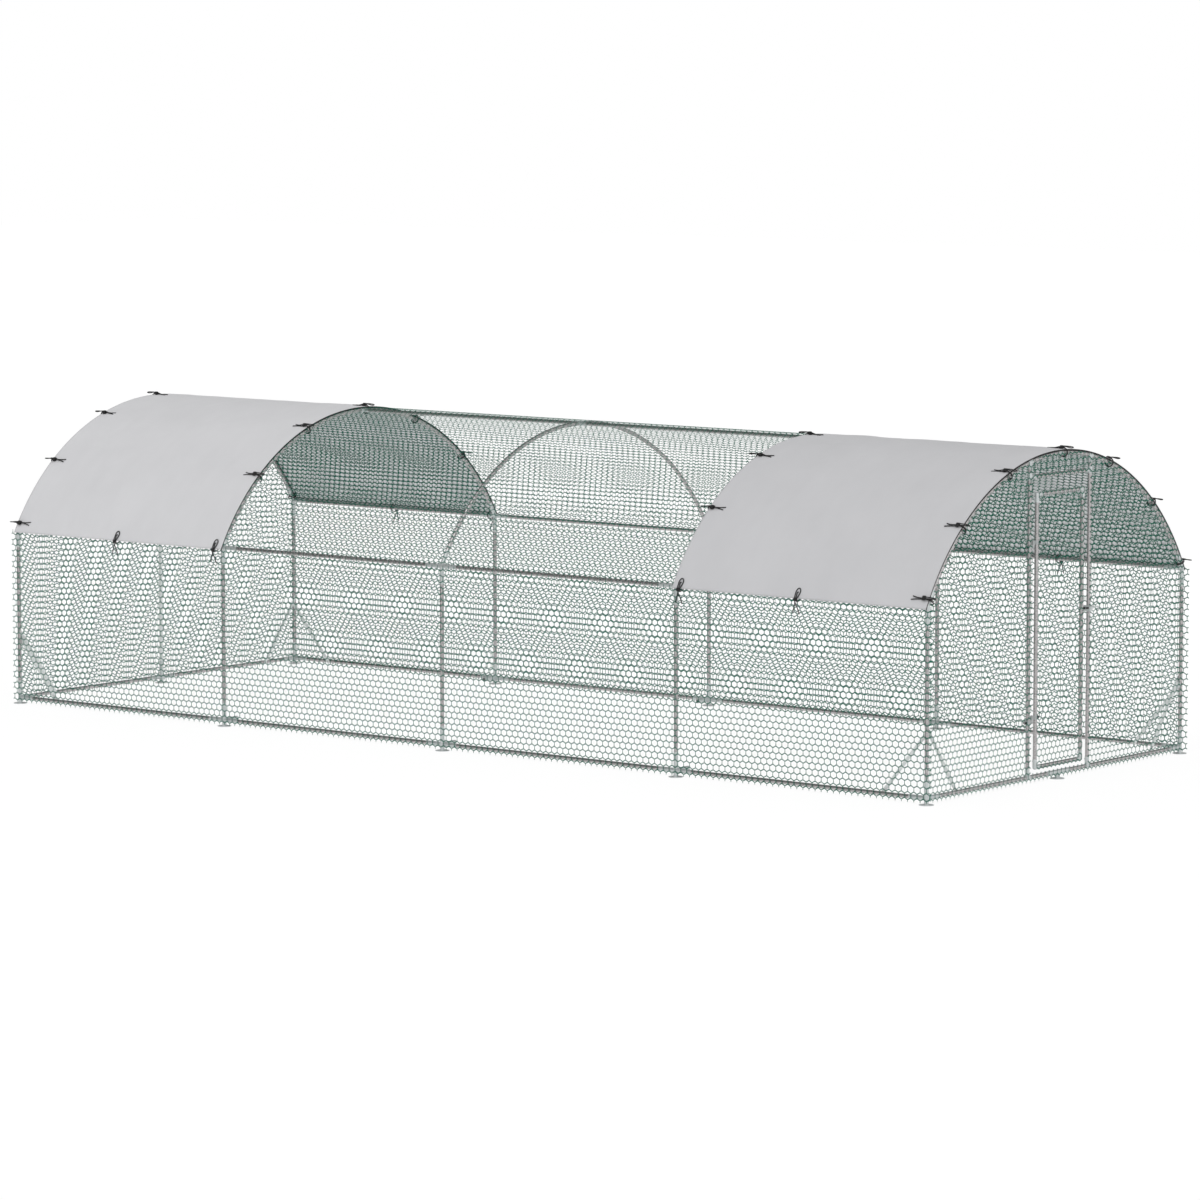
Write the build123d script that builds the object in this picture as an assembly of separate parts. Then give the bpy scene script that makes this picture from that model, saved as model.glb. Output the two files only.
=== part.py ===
from build123d import *
import math
import os

# Walk-in poultry run: galvanised tube frame, barrel roof, hexagonal netting and two cloth covers.
# X runs along the run with the door end at +X, Y runs across it, Z is up, and z = 0 is the ground.
# Seen from outside the door, the left side is -Y and the right side is +Y. All sizes are in millimetres.

# Driving sizes of the frame.
bay_length = 1870.0
bay_count = 4
run_width = 2800.0  # between the axes of the two rows of posts
eave_height = 1180.0  # axis of the eave rails
ridge_height = 2000.0  # axis of the ridge rails
base_rail_height = 42.0  # axis of the base rails

# Tubes and the sleeves that join them.
tube_diameter = 25.0
tube_wall = 0.8
sleeve_wall = 1.4
sleeve_clearance = 0.1  # radial, between a tube and its sleeve
tube_end_clearance = 3.5  # between the side of a tube and the end of one that meets it
end_gap = 0.2  # between a tube's end and the floor of its socket
rail_arm = 125.0  # sleeve arm along a rail, from the middle of the joint
post_arm = 115.0
hoop_arm = 110.0  # measured along the bent hoop
joint_ball = 0.2  # how much a joint's ball, or a clamp's collar, stands proud of its sleeves
clamp_half_width = 22.0  # half the length of a clamp that slides onto a tube
clamp_socket = 58.0  # socket of such a clamp, from the axis of the tube that it grips
head_socket = 42.0  # the same, for the clamps that hold the jambs to the hoop
ridge_joint_gap = 0.5  # between the two halves of a hoop

# Feet.
foot_diameter = 90.0
foot_thickness = 3.0

# Corner braces.
brace_diameter = 22.0
brace_wall = 0.8
brace_reach = 330.0  # along the base rail, from the post
brace_height = 440.0  # on the post, above the ground
brace_step_margin = 8.0  # on a post, between the tabs of the brace along the side and the one across the end
brace_tab_flare = 2.0  # how much wider the flattened end is than the round part
brace_tab_thickness = 2.4
brace_tab_length = 66.0
brace_tab_lap = 12.0  # how far a tab runs into the round part

# Screws that lock the sleeves and braces.
screw_diameter = 4.2
screw_hole_clearance = 0.3  # radial
screw_length = 8.0
screw_head_diameter = 9.0
screw_head_height = 3.0
screw_place = 0.72  # along a sleeve arm
bent_seat = 0.02  # under the head of a screw on a bent sleeve

# Netting.
net_thickness = 2.0
net_wire = 3.2
net_seat = 0.3  # between the netting and the sleeves that it lies on
net_cell = 185.0  # across the flats of a side or end net's gap
net_bottom = 12.0  # lower edge of the netting, above the ground
net_overhang = 45.0  # of the side netting past the end posts
net_post_lap = 12.0  # of the front netting past a jamb's axis, towards the doorway
net_hoop_lap = 10.0  # of the end netting past the hoop's axis
net_joint = 1.0  # between nets of neighbouring bays
net_eave_gap = 4.0  # the side netting stops this much above the eave rail's axis
roof_strips = 14
roof_strip_gap = 0.3
sill_net_top = 64.0

# Covers.
cover_thickness = 1.2
cover_clearance = 0.4  # between a cover and the netting under it
cover_lap = 8.0  # past the hoop's axis
cover_drop_angle = 0.9  # degrees of arc below the eave joint
eyelet_radius = 4.8

# Cord ties.
cord_diameter = 6.5
cord_hole_clearance = 2.0
ridge_tie_angle = 1.6  # the ridge tie stands beside the ridge clamp
corner_tie_offset = 1.5  # degrees above the eave joint
corner_tie_inset = 50.0  # of a tie on the eave rail, from the hoop
ties_per_side = 3

# Doorway and door leaf.
jamb_spacing = 660.0
lintel_height = 1877.0
leaf_width = 500.0  # between the stiles' axes
leaf_bottom = 97.0  # axis of the bottom rail
leaf_top = 1766.0
elbow_arm = 50.0
door_net_overhang = 16.0  # below the bottom rail's axis and above the top rail's

# Hinges: a clamp with an upright pin on the jamb, and a clamp with an eye on the leaf.
hinge_heights = (380.0, 1450.0)
hinge_band_height = 24.0
hinge_pin_radius = 5.0
hinge_running_clearance = 0.05
hinge_boss_radius = 9.0
hinge_rise = 4.0  # of the pin above the eye
hinge_axial_gap = 0.2
hinge_arm_thickness = 8.0
ear_length = 22.0
ear_thickness = 2.0
ear_gap = 2.0
bolt_diameter = 8.0
bolt_clearance = 0.2
bolt_head_diameter = 14.0
bolt_head_height = 6.0
bolt_tail = 9.0  # thread beyond the ears

# Latch: a clamp with a barrel on the jamb, and a round bolt that slides across the leaf's stile.
latch_height = 1020.0
latch_band_height = 36.0
latch_plate_width = 32.0
latch_plate_reach = 20.0  # front of the plate, from the jamb's axis
latch_barrel_radius = 8.0
latch_barrel_length = 44.0
latch_barrel_offset = 26.0  # in front of the jamb's axis
latch_barrel_rise = 8.0  # above the middle of the band
latch_bolt_radius = 5.0
latch_running_clearance = 0.05
latch_travel = 42.0
latch_stop_gap = 1.0
latch_handle_drop = 26.0
latch_bend_radius = 8.0
latch_tip_radius = 6.5
latch_tip_length = 16.0
latch_tip_gap = 10.0  # between the drawn-back tip and the side of the stile

# Sizes that follow.
tube_radius = tube_diameter / 2
tube_bore = tube_radius - tube_wall
socket_radius = tube_radius + sleeve_clearance
sleeve_radius = socket_radius + sleeve_wall
tube_setback = tube_radius + tube_end_clearance  # from the middle of a joint to the end of a tube
ball_radius = sleeve_radius + joint_ball
root_inset = math.sqrt(ball_radius**2 - sleeve_radius**2) / 2  # a bent arm starts here, inside the ball
brace_tab_width = brace_diameter + brace_tab_flare
brace_slant = math.hypot(brace_reach, brace_height - base_rail_height) / brace_reach
brace_height_step = brace_slant * brace_tab_width + brace_step_margin  # a slanting tab takes up more of the post
half_width = run_width / 2
half_length = bay_length * bay_count / 2
hoop_places = [bay_length * i - half_length for i in range(bay_count + 1)]
last_hoop = bay_count
hoop_rise = ridge_height - eave_height
hoop_radius = (half_width**2 + hoop_rise**2) / (2 * hoop_rise)
hoop_centre = ridge_height - hoop_radius
eave_angle = math.degrees(math.asin(half_width / hoop_radius))
half_doorway = jamb_spacing / 2
half_leaf = leaf_width / 2
hinge_y = -(half_doorway + half_leaf) / 2
net_inner = sleeve_radius + net_seat  # from a tube's axis to the inner face of the netting
strip_angle = 2 * eave_angle / roof_strips
strip_apothem = hoop_radius + net_inner
strip_width = 2 * strip_apothem * math.tan(math.radians(strip_angle / 2))
roof_net_cell = strip_width * 2 / math.sqrt(3)
strip_corner = (strip_apothem + net_thickness) / math.cos(math.radians(strip_angle / 2))
cover_inner = strip_corner + cover_clearance
cover_outer = cover_inner + cover_thickness
cover_angle = eave_angle + cover_drop_angle
sides = {"left": -1, "right": 1}
cord_radius = cord_diameter / 2
tie_lift = cover_outer - hoop_radius + cord_radius + 0.3  # a tail's axis above the hoop's axis

X_AXIS = Vector(1, 0, 0)
Y_AXIS = Vector(0, 1, 0)
Z_AXIS = Vector(0, 0, 1)


# Basic shapes.


def rod(start, end, radius):
    """A round bar from one point to another."""
    run = end - start
    return Solid.make_cylinder(radius, run.length, Plane(start, z_dir=run.normalized()))


def pipe(start, end, radius=tube_radius, bore=tube_bore):
    """A straight length of tube."""
    return (rod(start, end, radius) - rod(start, end, bore)).solid()


def block(low, high):
    """A box between two opposite corners."""
    size = high - low
    return Solid.make_box(size.X, size.Y, size.Z, Plane(low))


def hoop_point(x, angle, radius=hoop_radius):
    """A point on a roof arc, with the angle counted from the ridge towards +Y."""
    a = math.radians(angle)
    return Vector(x, radius * math.sin(a), hoop_centre + radius * math.cos(a))


def hoop_normal(angle):
    """The outward direction of the roof at an angle from the ridge."""
    a = math.radians(angle)
    return Vector(0, math.sin(a), math.cos(a))


def bent_rod(x, angle_from, angle_to, radius):
    """A round bar bent to the hoop's arc, from a smaller angle to a larger one."""
    plane = Plane(Vector(x, 0, hoop_centre), x_dir=hoop_normal(angle_from), z_dir=-X_AXIS)
    return Solid.make_torus(hoop_radius, radius, plane, major_angle=angle_to - angle_from)


def arc_degrees(length):
    """The angle that a length takes along the hoop."""
    return math.degrees(length / hoop_radius)


def drilled(solid, holes):
    """The solid with those holes cut that come near it."""
    box = solid.bounding_box()
    near = []
    for hole in holes:
        other = hole.bounding_box()
        apart = (
            other.min.X > box.max.X or other.max.X < box.min.X
            or other.min.Y > box.max.Y or other.max.Y < box.min.Y
            or other.min.Z > box.max.Z or other.max.Z < box.min.Z
        )
        if not apart:
            near.append(hole)
    return (solid - near).solid() if near else solid


# Screws: each stands on a sleeve or a brace tab, and points along the inward direction that it is given.

screws = []
screw_holes = []


def add_screw(seat, inward):
    """A pan-head screw whose head lies on the seat, with the hole that it needs."""
    head = rod(seat - inward * screw_head_height, seat, screw_head_diameter / 2)
    shank = rod(seat, seat + inward * screw_length, screw_diameter / 2)
    screws.append((head + shank).solid())
    hole_radius = screw_diameter / 2 + screw_hole_clearance
    screw_holes.append(rod(seat - inward * 1.0, seat + inward * (screw_length + 1.0), hole_radius))


def arm_screw(centre, direction, length, side):
    """A screw on the given side of a straight sleeve arm."""
    add_screw(centre + direction * (length * screw_place) + side * sleeve_radius, side * -1)


# Fittings: sleeves that leave one middle point, each bored as a socket for a tube.


def fitting(centre, arms, bent=(), stub=None, pole=Vector(0.6, 0.5, 0.7)):
    """One joint. arms are (direction, length); bent are (x, angle from, angle to, bore from, bore to)."""
    # The ball is turned so that its poles and seam lie off the arms' axes.
    turned = Plane(centre, x_dir=Vector(1, -1, 0.1), z_dir=pole)
    body = Solid.make_sphere(ball_radius, turned)
    bores = []
    for direction, length in arms:
        body = body + rod(centre, centre + direction * length, sleeve_radius)
        floor = centre + direction * (tube_setback - end_gap)
        bores.append(rod(floor, centre + direction * (length + 1), socket_radius))
    for x, angle_from, angle_to, bore_from, bore_to in bent:
        body = body + bent_rod(x, angle_from, angle_to, sleeve_radius)
        bores.append(bent_rod(x, bore_from, bore_to, socket_radius))
    if stub is not None:
        body = body + rod(centre, stub, sleeve_radius)
    return (body - bores).solid()


def foot_top(centre):
    """Where a joint's stub meets its foot plate."""
    return Vector(centre.X, centre.Y, foot_thickness)


def slide_clamp(centre, along, socket, socket_length):
    """A sleeve that slides onto a straight tube, with one socket square to it."""
    half = along * clamp_half_width
    body = rod(centre - half, centre + half, sleeve_radius + joint_ball)
    body = body + rod(centre, centre + socket * socket_length, sleeve_radius)
    through = rod(centre - half * 1.1, centre + half * 1.1, socket_radius)
    floor = centre + socket * (tube_setback - end_gap)
    return (body - [through, rod(floor, centre + socket * (socket_length + 1), socket_radius)]).solid()


def hoop_clamp(x, angle, sockets):
    """A sleeve round a hoop, with sockets as (direction, length) from the hoop's axis."""
    centre = hoop_point(x, angle)
    half = arc_degrees(clamp_half_width)
    body = bent_rod(x, angle - half, angle + half, sleeve_radius + joint_ball)
    bores = [bent_rod(x, angle - half * 1.1, angle + half * 1.1, socket_radius)]
    for direction, length in sockets:
        body = body + rod(centre, centre + direction * length, sleeve_radius)
        floor = centre + direction * (tube_setback - end_gap)
        bores.append(rod(floor, centre + direction * (length + 1), socket_radius))
    return (body - bores).solid()


base_corner_joints = []
base_tee_joints = []
base_centre_tees = []
eave_corner_joints = []
eave_cross_joints = []
ridge_clamps = []
foot_places = []
half_hoop_arm = arc_degrees(hoop_arm)
setback_angle = arc_degrees(tube_setback)
floor_angle = arc_degrees(tube_setback - end_gap)

for index, x in enumerate(hoop_places):
    at_rear = index == 0
    at_front = index == last_hoop
    rail_ways = [X_AXIS] if at_rear else [-X_AXIS] if at_front else [X_AXIS, -X_AXIS]
    for side in sides.values():
        inward = Y_AXIS * -side

        base = Vector(x, side * half_width, base_rail_height)
        arms = [(way, rail_arm) for way in rail_ways] + [(Z_AXIS, post_arm), (inward, rail_arm)]
        joint = fitting(base, arms, stub=foot_top(base))
        (base_corner_joints if at_rear or at_front else base_tee_joints).append(joint)
        for way in rail_ways:
            arm_screw(base, way, rail_arm, inward)
        arm_screw(base, Z_AXIS, post_arm, inward)
        if at_rear or at_front:
            arm_screw(base, inward, rail_arm, rail_ways[0])
        foot_places.append(base)

        eave = Vector(x, side * half_width, eave_height)
        arms = [(way, rail_arm) for way in rail_ways] + [(-Z_AXIS, post_arm)]
        near, far = eave_angle - half_hoop_arm, eave_angle - floor_angle
        root = eave_angle - arc_degrees(root_inset)
        if side > 0:
            bend = (x, near, root, near - 0.1, far)
        else:
            bend = (x, -root, -near, -far, -near + 0.1)
        joint = fitting(eave, arms, bent=[bend])
        (eave_corner_joints if at_rear or at_front else eave_cross_joints).append(joint)
        for way in rail_ways:
            arm_screw(eave, way, rail_arm, inward)
        arm_screw(eave, -Z_AXIS, post_arm, inward)
        screw_angle = side * (eave_angle - half_hoop_arm * screw_place)
        out = hoop_normal(screw_angle)
        add_screw(hoop_point(x, screw_angle) - out * (sleeve_radius + bent_seat), out)

    sockets = [(way, clamp_socket) for way in rail_ways]
    if at_rear:
        sockets.append((-Z_AXIS, clamp_socket))
    ridge_clamps.append(hoop_clamp(x, 0, sockets))
    ridge = hoop_point(x, 0)
    for way in rail_ways:
        arm_screw(ridge, way, clamp_socket, -Z_AXIS)
    if at_rear:
        arm_screw(ridge, -Z_AXIS, clamp_socket, X_AXIS)

    if at_rear or at_front:
        middle = Vector(x, 0, base_rail_height)
        arms = [(Y_AXIS, rail_arm), (-Y_AXIS, rail_arm)]
        if at_rear:
            arms.append((Z_AXIS, post_arm))
        base_centre_tees.append(fitting(middle, arms, stub=foot_top(middle)))
        for way, length in arms:
            arm_screw(middle, way, length, rail_ways[0])
        foot_places.append(middle)

foot_plates = [
    rod(Vector(place.X, place.Y, 0), foot_top(place), foot_diameter / 2) for place in foot_places
]

# Doorway fittings on the front end.

front_x = hoop_places[last_hoop]
rear_x = hoop_places[0]
jamb_base_tees = []
jamb_head_clamps = []
lintel_tees = []
jamb_angle = math.degrees(math.asin(half_doorway / hoop_radius))
for side in sides.values():
    foot = Vector(front_x, side * half_doorway, base_rail_height)
    head = hoop_point(front_x, side * jamb_angle)
    tee = Vector(front_x, side * half_doorway, lintel_height)
    jamb_base_tees.append(slide_clamp(foot, Y_AXIS, Z_AXIS, clamp_socket))
    arm_screw(foot, Z_AXIS, clamp_socket, -X_AXIS)
    jamb_head_clamps.append(hoop_clamp(front_x, side * jamb_angle, [(-Z_AXIS, head_socket)]))
    arm_screw(head, -Z_AXIS, head_socket, -X_AXIS)
    lintel_tees.append(slide_clamp(tee, Z_AXIS, Y_AXIS * -side, clamp_socket))
    arm_screw(tee, Y_AXIS * -side, clamp_socket, -X_AXIS)
head_height = hoop_point(front_x, jamb_angle).Z

# Corner braces: a round tube with flat tabs, screwed to the inner faces of a post and a base rail.

corner_braces = []
brace_offset = tube_radius + brace_tab_thickness / 2 + 0.1
tab_face = tube_radius + brace_tab_thickness + 0.1


def brace(corner, along, inward, height):
    """One brace in the plane of a wall. along points down the rail and inward into the run."""
    top = Vector(corner.X, corner.Y, height) + inward * brace_offset
    toe = Vector(corner.X, corner.Y, base_rail_height) + along * brace_reach + inward * brace_offset
    slope = (toe - top).normalized()
    straight = brace_tab_length - brace_tab_lap - brace_tab_width / 2
    body = rod(top + slope * straight, toe - slope * straight, brace_diameter / 2)
    body = body - rod(top + slope * straight, toe - slope * straight, brace_diameter / 2 - brace_wall)
    for end, way in ((top, slope), (toe, slope * -1)):
        plane = Plane(end, x_dir=way, z_dir=inward)
        length = brace_tab_length - brace_tab_width / 2
        tab = plane * Pos(length / 2, 0, 0) * Box(length, brace_tab_width, brace_tab_thickness)
        tip = plane * Cylinder(brace_tab_width / 2, brace_tab_thickness)
        body = body + tab + tip
        seat = end + inward * (brace_tab_thickness / 2)
        add_screw(seat, inward * -1)
    return drilled(body.solid(), screw_holes[-2:])


for x, along in ((rear_x, X_AXIS), (front_x, -X_AXIS)):
    for side in sides.values():
        corner = Vector(x, side * half_width, 0)
        inward = Y_AXIS * -side
        corner_braces.append(brace(corner, along, inward, brace_height))
        corner_braces.append(brace(corner, inward, along, brace_height + brace_height_step))

# Tubes of the frame.


def between(low, high, setback=tube_setback):
    """A tube between the middles of two joints."""
    way = (high - low).normalized()
    return pipe(low + way * setback, high - way * setback)


side_tubes = {"base_rails": [], "eave_rails": []}
for name, side in sides.items():
    y = side * half_width
    side_tubes[name + "_posts"] = [
        between(Vector(x, y, base_rail_height), Vector(x, y, eave_height)) for x in hoop_places
    ]
    for rail, z in (("base_rails", base_rail_height), ("eave_rails", eave_height)):
        side_tubes[rail] += [
            between(Vector(x, y, z), Vector(x + bay_length, y, z)) for x in hoop_places[:-1]
        ]
ridge_rails = [
    between(Vector(x, 0, ridge_height), Vector(x + bay_length, 0, ridge_height))
    for x in hoop_places[:-1]
]
end_base_rails = []
for x in (rear_x, front_x):
    for side in sides.values():
        middle = Vector(x, 0, base_rail_height)
        end_base_rails.append(between(middle, Vector(x, side * half_width, base_rail_height)))
rear_centre_post = between(Vector(rear_x, 0, base_rail_height), Vector(rear_x, 0, ridge_height))
door_jambs = []
for side in sides.values():
    y = side * half_doorway
    door_jambs.append(between(Vector(front_x, y, base_rail_height), Vector(front_x, y, head_height)))
lintel_ends = [Vector(front_x, side * half_doorway, lintel_height) for side in sides.values()]
door_lintel = between(*lintel_ends)


def half_hoop(x, side):
    """Half of a hoop, from the ridge to the eave joint."""
    low = arc_degrees(ridge_joint_gap / 2)
    high = eave_angle - setback_angle
    span = (low, high) if side > 0 else (-high, -low)
    return (bent_rod(x, *span, tube_radius) - bent_rod(x, *span, tube_bore)).solid()


hoops = [[half_hoop(x, side) for side in sides.values()] for x in hoop_places]

# Netting: a flat sheet with one hexagonal gap per cell, and gaps at the edge cut to the outline.


def clipped(points, walls):
    """A convex outline cut by half planes, each (a, b, c) keeping a * u + b * v <= c."""
    for a, b, c in walls:
        kept = []
        for here, there in zip(points, points[1:] + points[:1]):
            inside = a * here[0] + b * here[1] <= c
            ends_inside = a * there[0] + b * there[1] <= c
            if inside:
                kept.append(here)
            if inside != ends_inside:
                du, dv = there[0] - here[0], there[1] - here[1]
                share = (c - a * here[0] - b * here[1]) / (a * du + b * dv)
                kept.append((here[0] + share * du, here[1] + share * dv))
        points = kept
        if len(points) < 3:
            return []
    return points


def area_of(points):
    """Area of a flat outline."""
    pairs = zip(points, points[1:] + points[:1])
    return abs(sum(p[0] * q[1] - q[0] * p[1] for p, q in pairs)) / 2


def box_walls(low_u, high_u, low_v, high_v):
    """The four half planes of a rectangle, taken in by one wire."""
    return [
        (-1, 0, -(low_u + net_wire)), (1, 0, high_u - net_wire),
        (0, -1, -(low_v + net_wire)), (0, 1, high_v - net_wire),
    ]


def hoop_walls(radius):
    """Half planes that keep the gaps of an end net under the roof arc."""
    walls = []
    for k in range(-10, 11):
        a = math.radians(k * eave_angle / 10)
        reach = radius * math.cos(math.radians(eave_angle / 20)) - net_wire
        walls.append((math.sin(a), math.cos(a), reach + hoop_centre * math.cos(a)))
    return walls


def gaps(low_u, high_u, low_v, high_v, walls, cell):
    """Pointed hexagonal gaps in staggered rows, wholly inside the walls."""
    row = cell * math.sqrt(3) / 2
    columns = math.ceil((high_u - low_u) / cell) + 1
    rows = math.ceil((high_v - low_v) / row) + 1
    radius = (cell - net_wire) / math.sqrt(3)
    wires = []
    for j in range(rows):
        for i in range(columns):
            u = low_u + (i + 0.5 * (j % 2)) * cell
            v = low_v + j * row
            corners = []
            for k in range(6):
                a = math.radians(60 * k + 30)
                corners.append((u + radius * math.cos(a), v + radius * math.sin(a)))
            corners = clipped(corners, walls)
            if len(corners) > 2 and area_of(corners) > (4 * net_wire) ** 2:
                wires.append(Wire.make_polygon([Vector(p[0], p[1], 0) for p in corners], close=True))
    return wires


def sheet(outline, holes, plane):
    """A net: one holed face on a plane, thickened along the plane's normal."""
    return plane * extrude(Face(outline, holes), amount=net_thickness).solid()


def rectangle(low_u, high_u, low_v, high_v):
    """A closed rectangular outline."""
    corners = [(low_u, low_v), (high_u, low_v), (high_u, high_v), (low_u, high_v)]
    return Wire.make_polygon([Vector(u, v, 0) for u, v in corners], close=True)


def arched(low_u, high_u, low_v, radius):
    """An outline with upright sides and the roof arc on top."""
    def top(u):
        return Vector(u, hoop_centre + math.sqrt(radius**2 - u**2), 0)

    low, high = Vector(low_u, low_v, 0), Vector(high_u, low_v, 0)
    arc = Edge.make_three_point_arc(top(high_u), top((low_u + high_u) / 2), top(low_u))
    return Wire([
        Edge.make_line(low, high), Edge.make_line(high, top(high_u)), arc,
        Edge.make_line(top(low_u), low),
    ])


nets = {}
net_top = eave_height + net_eave_gap
for name, side in sides.items():
    outer_face = Vector(0, side * (half_width + net_inner), 0)
    plane = Plane(outer_face, x_dir=X_AXIS * -side, z_dir=Y_AXIS * side)
    for i, x in enumerate(hoop_places[:-1]):
        low = x - net_overhang if i == 0 else x + net_joint / 2
        high = x + bay_length + net_overhang if i == bay_count - 1 else x + bay_length - net_joint / 2
        span = (low, high) if side < 0 else (-high, -low)
        holes = gaps(*span, net_bottom, net_top, box_walls(*span, net_bottom, net_top), net_cell)
        nets[f"{name}_net_{i + 1}"] = [sheet(rectangle(*span, net_bottom, net_top), holes, plane)]

strip_half = strip_width / 2 - roof_strip_gap / 2
strip_span = (net_joint / 2, bay_length - net_joint / 2)
strip_holes = gaps(
    *strip_span, -strip_half, strip_half, box_walls(*strip_span, -strip_half, strip_half), roof_net_cell
)
strip = sheet(rectangle(*strip_span, -strip_half, strip_half), strip_holes, Plane.XY)
for i, x in enumerate(hoop_places[:-1]):
    strips = []
    for k in range(roof_strips):
        angle = -eave_angle + (k + 0.5) * strip_angle
        place = Plane(hoop_point(x, angle, strip_apothem), x_dir=X_AXIS, z_dir=hoop_normal(angle))
        strips.append(place * strip)
    nets[f"roof_net_{i + 1}"] = strips

end_radius = hoop_radius + net_hoop_lap
end_face = {"rear": Plane(Vector(rear_x - net_inner, 0, 0), x_dir=-Y_AXIS, z_dir=-X_AXIS)}
end_face["front"] = Plane(Vector(front_x + net_inner, 0, 0), x_dir=Y_AXIS, z_dir=X_AXIS)
lap = half_doorway - net_post_lap
end_panels = {
    "rear_net": ("rear", -half_width, half_width, net_bottom),
    "front_net_left": ("front", -half_width, -lap, net_bottom),
    "front_net_right": ("front", lap, half_width, net_bottom),
    "transom_net": ("front", -lap + net_joint, lap - net_joint, lintel_height - sleeve_radius),
}
for name, (end, low, high, bottom) in end_panels.items():
    walls = box_walls(low, high, bottom, ridge_height + end_radius) + hoop_walls(end_radius)
    holes = gaps(low, high, bottom, ridge_height, walls, net_cell)
    nets[name] = [sheet(arched(low, high, bottom, end_radius), holes, end_face[end])]
sill = (-lap + net_joint, lap - net_joint, net_bottom, sill_net_top)
sill_holes = gaps(*sill, box_walls(*sill), net_cell)
nets["sill_net"] = [sheet(rectangle(*sill), sill_holes, end_face["front"])]
leaf = (-half_leaf, half_leaf, leaf_bottom - door_net_overhang, leaf_top + door_net_overhang)
leaf_holes = gaps(*leaf, box_walls(*leaf), net_cell)
door_net = sheet(rectangle(*leaf), leaf_holes, end_face["front"])

# Hinges.


def band(centre, height, ears):
    """A clamp band round an upright tube, with two ears for its bolt, before its cuts."""
    half = Z_AXIS * (height / 2)
    across = Z_AXIS.cross(ears)
    body = rod(centre - half, centre + half, sleeve_radius)
    for offset in (-1, 1):
        middle = across * (offset * (ear_gap + ear_thickness) / 2)
        start = centre + ears * (sleeve_radius - sleeve_wall) + middle
        plane = Plane(start, x_dir=ears, z_dir=Z_AXIS)
        ear = plane * Pos(ear_length / 2, 0, 0) * Box(ear_length, ear_thickness, height)
        body = body + ear
    return body


def band_cuts(centre, height, ears):
    """What is cut from a band: the tube's bore, the split and the bolt's hole."""
    half = Z_AXIS * (height / 2 + 1)
    across = Z_AXIS.cross(ears)
    plane = Plane(centre, x_dir=ears, z_dir=Z_AXIS)
    reach = sleeve_radius + ear_length
    split = plane * Pos(reach / 2, 0, 0) * Box(reach, ear_gap, height + 2)
    hole_at = bolt_place(centre, ears)
    hole_radius = bolt_diameter / 2 + bolt_clearance
    hole = rod(hole_at - across * ear_length, hole_at + across * ear_length, hole_radius)
    return [rod(centre - half, centre + half, socket_radius), split, hole]


def bolt_place(centre, ears):
    """The middle of a clamp bolt."""
    return centre + ears * (sleeve_radius + ear_length * 0.55)


def clamp_bolt(centre, ears):
    """A bolt through a band's ears, with its head on one side and its nut on the other."""
    across = Z_AXIS.cross(ears)
    middle = bolt_place(centre, ears)
    grip = across * (ear_gap / 2 + ear_thickness)
    cap = across * bolt_head_height
    head = rod(middle + grip, middle + grip + cap, bolt_head_diameter / 2)
    nut = rod(middle - grip, middle - grip - cap, bolt_head_diameter / 2)
    shank = rod(middle + grip, middle - grip - across * bolt_tail, bolt_diameter / 2)
    return (head + shank + nut).solid()


hinge_brackets = []
hinge_eyes = []
frame_clamp_bolts = []
door_clamp_bolts = []
for z in hinge_heights:
    half = hinge_band_height / 2
    jamb_at = Vector(front_x, -half_doorway, z)
    pin_at = Vector(front_x, hinge_y, z)
    half_arm = hinge_arm_thickness / 2
    body = band(jamb_at, hinge_band_height, -Y_AXIS)
    body = body + block(
        Vector(front_x - half_arm, jamb_at.Y, z - half), Vector(front_x + half_arm, pin_at.Y, z + half)
    )
    boss_top = pin_at + Z_AXIS * half
    body = body + rod(pin_at - Z_AXIS * half, boss_top, hinge_boss_radius)
    pin_length = hinge_axial_gap + hinge_band_height + hinge_rise
    body = body + rod(boss_top, boss_top + Z_AXIS * pin_length, hinge_pin_radius)
    hinge_brackets.append((body - band_cuts(jamb_at, hinge_band_height, -Y_AXIS)).solid())
    frame_clamp_bolts.append(clamp_bolt(jamb_at, -Y_AXIS))

    lift = hinge_band_height + hinge_axial_gap
    stile_at = Vector(front_x, -half_leaf, z + lift)
    eye_at = pin_at + Z_AXIS * lift
    body = band(stile_at, hinge_band_height, Y_AXIS)
    body = body + block(
        Vector(front_x - half_arm, eye_at.Y, z + lift - half),
        Vector(front_x + half_arm, stile_at.Y, z + lift + half),
    )
    body = body + rod(eye_at - Z_AXIS * half, eye_at + Z_AXIS * half, hinge_boss_radius)
    cuts = band_cuts(stile_at, hinge_band_height, Y_AXIS)
    eye_bore = hinge_pin_radius + hinge_running_clearance
    cuts.append(rod(eye_at - Z_AXIS * (half + 1), eye_at + Z_AXIS * (half + 1), eye_bore))
    hinge_eyes.append((body - cuts).solid())
    door_clamp_bolts.append(clamp_bolt(stile_at, Y_AXIS))

# Latch.

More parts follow.
